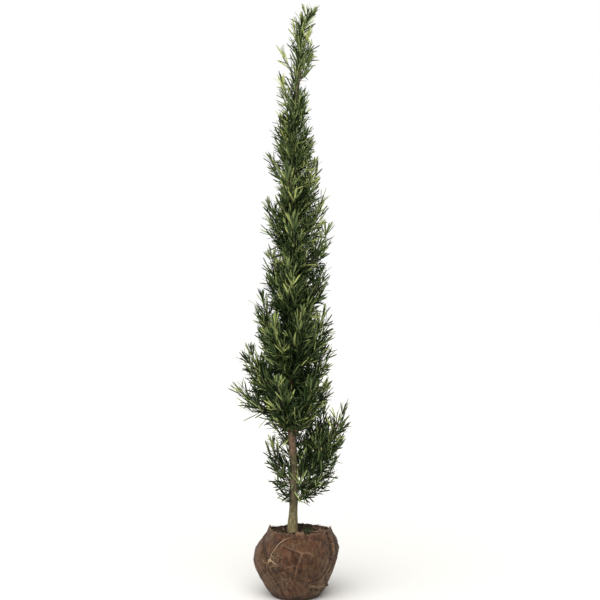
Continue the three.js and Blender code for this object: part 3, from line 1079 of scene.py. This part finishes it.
def closed_line(line, count):
    """Turns and heights along a closed line, eased through its places."""
    turns = np.unwrap(np.radians([a for a, _ in line] + [line[0][0]]))
    heights = np.array([z for _, z in line] + [line[0][1]]) / 1000
    round_trip = turns[-1] - turns[0]
    share = np.arange(count + 1) / count * len(line)
    base = np.minimum(share.astype(int), len(line) - 1)
    t = (share - base)[:, None]
    knots = np.stack([turns[:-1], heights[:-1]], -1)

    def knot(k):
        laps = k // len(line)
        return knots[k % len(line)] + np.stack([laps * round_trip, 0 * laps], -1)

    p0, p1, p2, p3 = (knot(base + k) for k in (-1, 0, 1, 2))
    square, cube = 2 * p0 - 5 * p1 + 4 * p2 - p3, 3 * p1 - p0 - 3 * p2 + p3
    eased = 0.5 * (2 * p1 + (p2 - p0) * t + square * t**2 + cube * t**3)
    return eased[:, 0], eased[:, 1]


def ply_points(local, centres, out, phase, turns):
    """One ply of a twisted string laid along a line of places, with out as its upper side."""
    count = len(centres) - 1
    share = np.clip(local[:, 2], 0, 1)
    at = share * count
    low = np.minimum(at.astype(int), count - 1)
    t = (at - low)[:, None]
    centre = centres[low] * (1 - t) + centres[low + 1] * t
    upper = unit(out[low] * (1 - t) + out[low + 1] * t)
    ahead = unit(np.gradient(centres, axis=0))
    along = unit(ahead[low] * (1 - t) + ahead[low + 1] * t)
    side = unit(np.cross(along, upper))
    angle = (phase + 2 * pi * turns * share)[:, None]
    middle = centre + TWINE_OFFSET * (np.cos(angle) * upper + np.sin(angle) * side)
    return middle + PLY_RADIUS * (local[:, 0:1] * upper + local[:, 1:2] * side)


def make_twine(sack):
    """Two closed loops of two-ply string, a knot at their crossing, and its loose tails."""
    laid = []
    for line in TWINE_LINES:
        turn, height = closed_line(line, 620)
        out = sack.press(turn, height)[0]
        laid.append((sack.at(turn, height, round_smooth(out, 8) + 0.0023), turn))
    crossing = sack.at(np.array([radians(CROSSING[0])]), np.array([CROSSING[1] / 1000]), 0.004)[0]
    outward = unit(crossing * (1, 1, 0))
    level = np.array([-outward[1], outward[0], 0.0])
    swing = np.linspace(0, 2 * pi * 1.5, 90)
    knot = (
        crossing
        + (KNOT_RADIUS * np.cos(swing))[:, None] * level
        + (KNOT_RADIUS * np.sin(swing))[:, None] * (0, 0, 1)
        + (0.0016 * np.sin(2 * swing / 3) + 0.0008)[:, None] * outward
    )
    laid.append((knot, np.full(90, BRIGHT_TWINE)))
    for aside, drop, length in TAILS:
        t = np.linspace(0, 1, 60)[:, None]
        away = unit(np.array([0.0, 0.0, drop]) + aside * level)
        tail = crossing + length * t * away + (0.004 * np.sin(2.6 * t) - 0.004 * t) * outward
        laid.append((tail + 0.003 * np.sin(5 * t) * (0, 0, 1), np.full(60, BRIGHT_TWINE)))
    for n, (centres, turn) in enumerate(laid):
        long = float(np.linalg.norm(np.diff(centres, axis=0), axis=1).sum())
        local, triangles = twig_shape(max(24, int(long / 0.0016)), 6)
        out = unit(centres * (1, 1, 0) + (-0.01, 0, 0.02))
        bright = bell(past(turn, BRIGHT_TWINE) / BRIGHT_SPREADS[n])
        turns = round(long / PLY_TURN)
        both = np.stack([ply_points(local, centres, out, phase, turns) for phase in (0, pi)])
        piece = finish_piece(f"twine_{n + 1}", mesh_from_arrays("twine", both, triangles), TWINE)
        low = np.clip(local[:, 2], 0, 1) * (len(turn) - 1)
        wear_and_shade = 0.74 * bright[low.astype(int)] - 0.25 * (np.sin(turn * 7)[low.astype(int)] > 0.2)
        set_wear_and_shade(piece.data, np.tile(wear_and_shade, 2))
        if n == 0:
            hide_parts("root_ball_twine")


def make_soil(sack):
    """The earth's uneven top inside the rim, closed underneath."""
    rows, columns, top_rows = 74, 220, 66
    mesh, row, column = spun_grid("soil_top", rows, columns)
    turn = turns_round(columns)
    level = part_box("root_ball_soil")[1].z
    wall = sack.at(turn, np.full(columns, level - 0.006), -CLOTH_THICKNESS - 0.0004)
    middle = np.array([sack.middle[-1], 0, 0])
    grid = np.zeros((rows, columns, 3))
    low_soil = skin_of(["root_ball_soil"])
    for k in range(top_rows):
        share = 1 - k / (top_rows - 1)
        ring = middle + (wall - middle) * (share, share, 0)
        for c, place in enumerate(ring):
            hit = below(low_soil, place[0], place[1], level - 0.03)
            ring[c, 2] = hit.z if hit else level - 0.008
        grid[k + rows - top_rows] = ring
    top = grid[rows - top_rows:]
    top[..., 2] = round_smooth(top[..., 2], 4)
    heaped = smoothstep(0.035, 0.085, np.hypot(top[..., 0] - middle[0], top[..., 1]))
    lumps = 0.0034 * rough(top, 60.0) + 0.0018 * rough(top, 170.0) + 0.0014 * rough(top, 420.0)
    top[..., 2] += 0.0062 * heaped + lumps
    for k in range(rows - top_rows):
        share = k / (rows - top_rows - 1)
        grid[k] = middle + (wall - middle) * (share, share, 0) + (0, 0, level - 0.030)
    grid[rows - 1] = grid[rows - 1].mean(0)
    grid[0] = grid[0].mean(0)
    set_points(mesh, grid[row, column])
    piece = finish_piece("soil_top", mesh, SOIL)
    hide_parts("root_ball_soil")
    return BVHTree.FromPolygons([v.co for v in mesh.vertices], [tuple(p.vertices) for p in mesh.polygons])


def lump_shape(seed):
    """One crumb: a small ball knocked out of true."""
    bm = bmesh.new()
    bmesh.ops.create_icosphere(bm, subdivisions=1, radius=1.0)
    for v in bm.verts:
        v.co *= 1 + 0.34 * noise.noise(v.co * 1.3 + Vector((seed, 0, 0)))
    return arrays_from_bmesh(bm)


def join_lumps(name, lumps, finish):
    """Many crumbs as one piece: each is a place, its three half sizes, and a turn."""
    shapes = [lump_shape(seed) for seed in (3.1, 9.7, 17.3)]
    points = []
    for n, (place, sizes, turn) in enumerate(lumps):
        spin = np.array(Matrix.Rotation(turn, 3, "Z") @ Matrix.Rotation(0.35 * sin(turn * 5), 3, "X"))
        points.append(place + (shapes[n % 3][0] * sizes) @ spin.T)
    return finish_piece(name, mesh_from_arrays(name, np.array(points), shapes[0][1]), finish)


def dress_soil(sack, ground):
    """Crumbs all over, a moss patch beside the trunk, and reddish litter towards +X."""
    dice = random.Random(5)
    middle = sack.middle[-1]

    def scatter(count, draw, sizes):
        found = []
        while len(found) < count:
            place = below(ground, *draw(), MOUTH_LEVEL)
            if place:
                wide = dice.uniform(*sizes)
                halves = (wide, wide * dice.uniform(0.6, 1), wide * dice.uniform(0.5, 0.9))
                found.append((np.array(place), halves, dice.uniform(0, 6.28)))
        return found

    def anywhere():
        turn, out = dice.uniform(0, 6.28), 0.106 * sqrt(dice.random())
        return middle + out * cos(turn), out * sin(turn)

    def moss_bed():
        return 0.042 + dice.gauss(0, 0.010), 0.010 + dice.gauss(0, 0.020)

    join_lumps("soil_crumbs", scatter(1100, anywhere, (0.0008, 0.0036)), SOIL)
    tufts = [(p, (w, d, h * 1.7), t) for p, (w, d, h), t in scatter(260, moss_bed, (0.0010, 0.0028))]
    join_lumps("moss", tufts, MOSS)
    litter = []
    while len(litter) < 110:
        near = dice.random() < 0.72
        x, y = (0.086 + dice.gauss(0, 0.015), dice.gauss(-0.010, 0.034)) if near else anywhere()
        place = below(ground, x, y, MOUTH_LEVEL)
        if not place:
            continue
        turn = dice.uniform(0, 6.28)
        heading = unit(np.array([cos(turn), sin(turn), dice.uniform(-0.05, 0.30)]))
        tilted = (dice.gauss(0, 0.3), dice.gauss(0, 0.3), 1)
        upper = unit(np.cross(np.cross(heading, tilted), heading))
        side = np.cross(heading, upper)
        length = dice.uniform(0.006, 0.022)
        litter.append((np.array(place) + (0, 0, 0.0015), side, heading, upper, length, dice.random()))
    join_leaves("litter", litter, LITTER)


RIM_FIBRES = 330
STRAY_FIBRES = (  # turn in degrees and height in mm, how far each way they spread, and how many
    (233, 140, 8, 9, 34), (247, 130, 8, 8, 16), (316, 42, 12, 11, 80), (240, 60, 20, 26, 40),
    (330, 110, 9, 40, 40), (120, 90, 60, 50, 50), (60, 100, 50, 50, 40),
)


def make_fibres(sack, rim):
    """Loose threads: a frayed edge round the rim, and strays where the twine rubs."""
    dice = random.Random(23)
    fibres = []
    turn = turns_round(CLOTH_COLUMNS)
    for _ in range(RIM_FIBRES):
        a = dice.uniform(0, 2 * pi)
        height = float(np.interp(a, turn, rim)) - dice.uniform(0, 0.003)
        start = sack.at(np.array([a]), np.array([height]))[0]
        out = np.array([cos(a), sin(a), 0])
        along = np.array([-sin(a), cos(a), 0])
        long = dice.uniform(0.004, 0.013)
        stray = 0.7 * dice.gauss(0, 1) * along + dice.uniform(-0.5, 0.6) * out
        end = start + long * (stray + (0, 0, dice.uniform(0.0, 0.9)))
        bend = (start + end) / 2 + long * 0.3 * (dice.gauss(0, 1) * along + (0, 0, 1))
        fibres.append((start, bend, end, 0.00032, 0.00016))
    for across, high, spread, tall, count in STRAY_FIBRES:
        for _ in range(count):
            a = radians(across + dice.gauss(0, spread))
            z = min(0.20, max(0.012, (high + dice.gauss(0, tall)) / 1000))
            slope, long = dice.uniform(0, 6.28), dice.uniform(0.008, 0.034)
            run = long * cos(slope)
            turns = np.array([a, a + 0.5 * run / MEAN_RADIUS, a + run / MEAN_RADIUS])
            rise = np.clip(0.5 * long * sin(slope) * np.array([0, 1, 2]) + z, 0.004, 0.21)
            clear = np.array([0.0012, dice.uniform(0.002, 0.006), dice.uniform(0.001, 0.004)])
            out = sack.press(turns, rise)[0] + clear
            fibres.append((*sack.at(turns, rise, out), 0.00034, 0.00018))
    piece = join_twigs("loose_fibres", fibres, TWINE)
    set_wear_and_shade(piece.data, 0.15 + 0.25 * (np.arange(len(piece.data.vertices)) // 37 % 3))


SACK = Sack()
rim_line = make_sacking(SACK)
make_twine(SACK)
dress_soil(SACK, make_soil(SACK))
make_fibres(SACK, rim_line)

foliage = Foliage(seed=11)
shoots = [Shoot(name) for name in LEAF_MASSES]
for shoot in shoots:
    foliage.grow(shoot, youth_and_light_at(shoot.tip[2]))
foliage.clothe_trunk()
make_trunk([(s.foot[2], s.direction, 0.0016) for s in shoots])
boughs = join_twigs("boughs", foliage.twigs, BARK)
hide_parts(*BOUGHS)
pieces = [
    join_leaves(f"leaves_{kind}", leaves, patchy_finish(f"leaf_{kind}", *look, 160.0, *LEAF))
    for leaves, (kind, slot, *look) in zip(foliage.leaves, LEAF_GREENS_LIT_AND_SHADED)
]
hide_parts(*LEAF_MASSES)

# ---- Floor ----
bm = bmesh.new()
bmesh.ops.create_circle(bm, cap_ends=True, segments=96, radius=40)
floor = add_object("floor", mesh_from_bmesh("floor", bm))
floor_finish, _, floor_surface = new_finish("pale_floor", 0.8, 0.2)
floor_surface["Base Color"].default_value = (0.785, 0.770, 0.735, 1)
floor.data.materials.append(floor_finish)
floor.location.z = -0.0005
